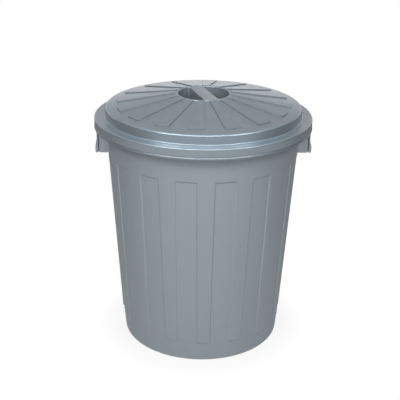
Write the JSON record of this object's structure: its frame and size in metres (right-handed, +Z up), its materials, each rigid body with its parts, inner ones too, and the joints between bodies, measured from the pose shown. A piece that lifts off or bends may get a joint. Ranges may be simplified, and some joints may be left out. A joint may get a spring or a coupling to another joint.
{
  "type": "dustbin with lid",
  "caption": "Round tapered plastic dustbin with fluted sides, moulded hand grips under the rim, and a lift-off conical lid with radial panels and a grip bar across a round well.",
  "frame": {"origin": "on the ground at the centre of the base", "axes": "+Z up, +X through one hand grip, -Y towards the front of the picture"},
  "size_m": [0.4474, 0.4474, 0.5296],
  "materials": {
    "tub_plastic": "satin, silver-grey pigmented, fine mould texture",
    "lid_plastic": "satin, silver-grey pigmented, fine mould texture"
  },
  "bodies": {
    "tub_body": {"tub": "tub_plastic"},
    "lid_body": {"lid": "lid_plastic"}
  },
  "joints": [
    {"name": "lid_lift", "type": "slide", "parent": "tub_body", "child": "lid_body", "axis": [0, 0, 1], "range_m": [0, 0.2]}
  ]
}
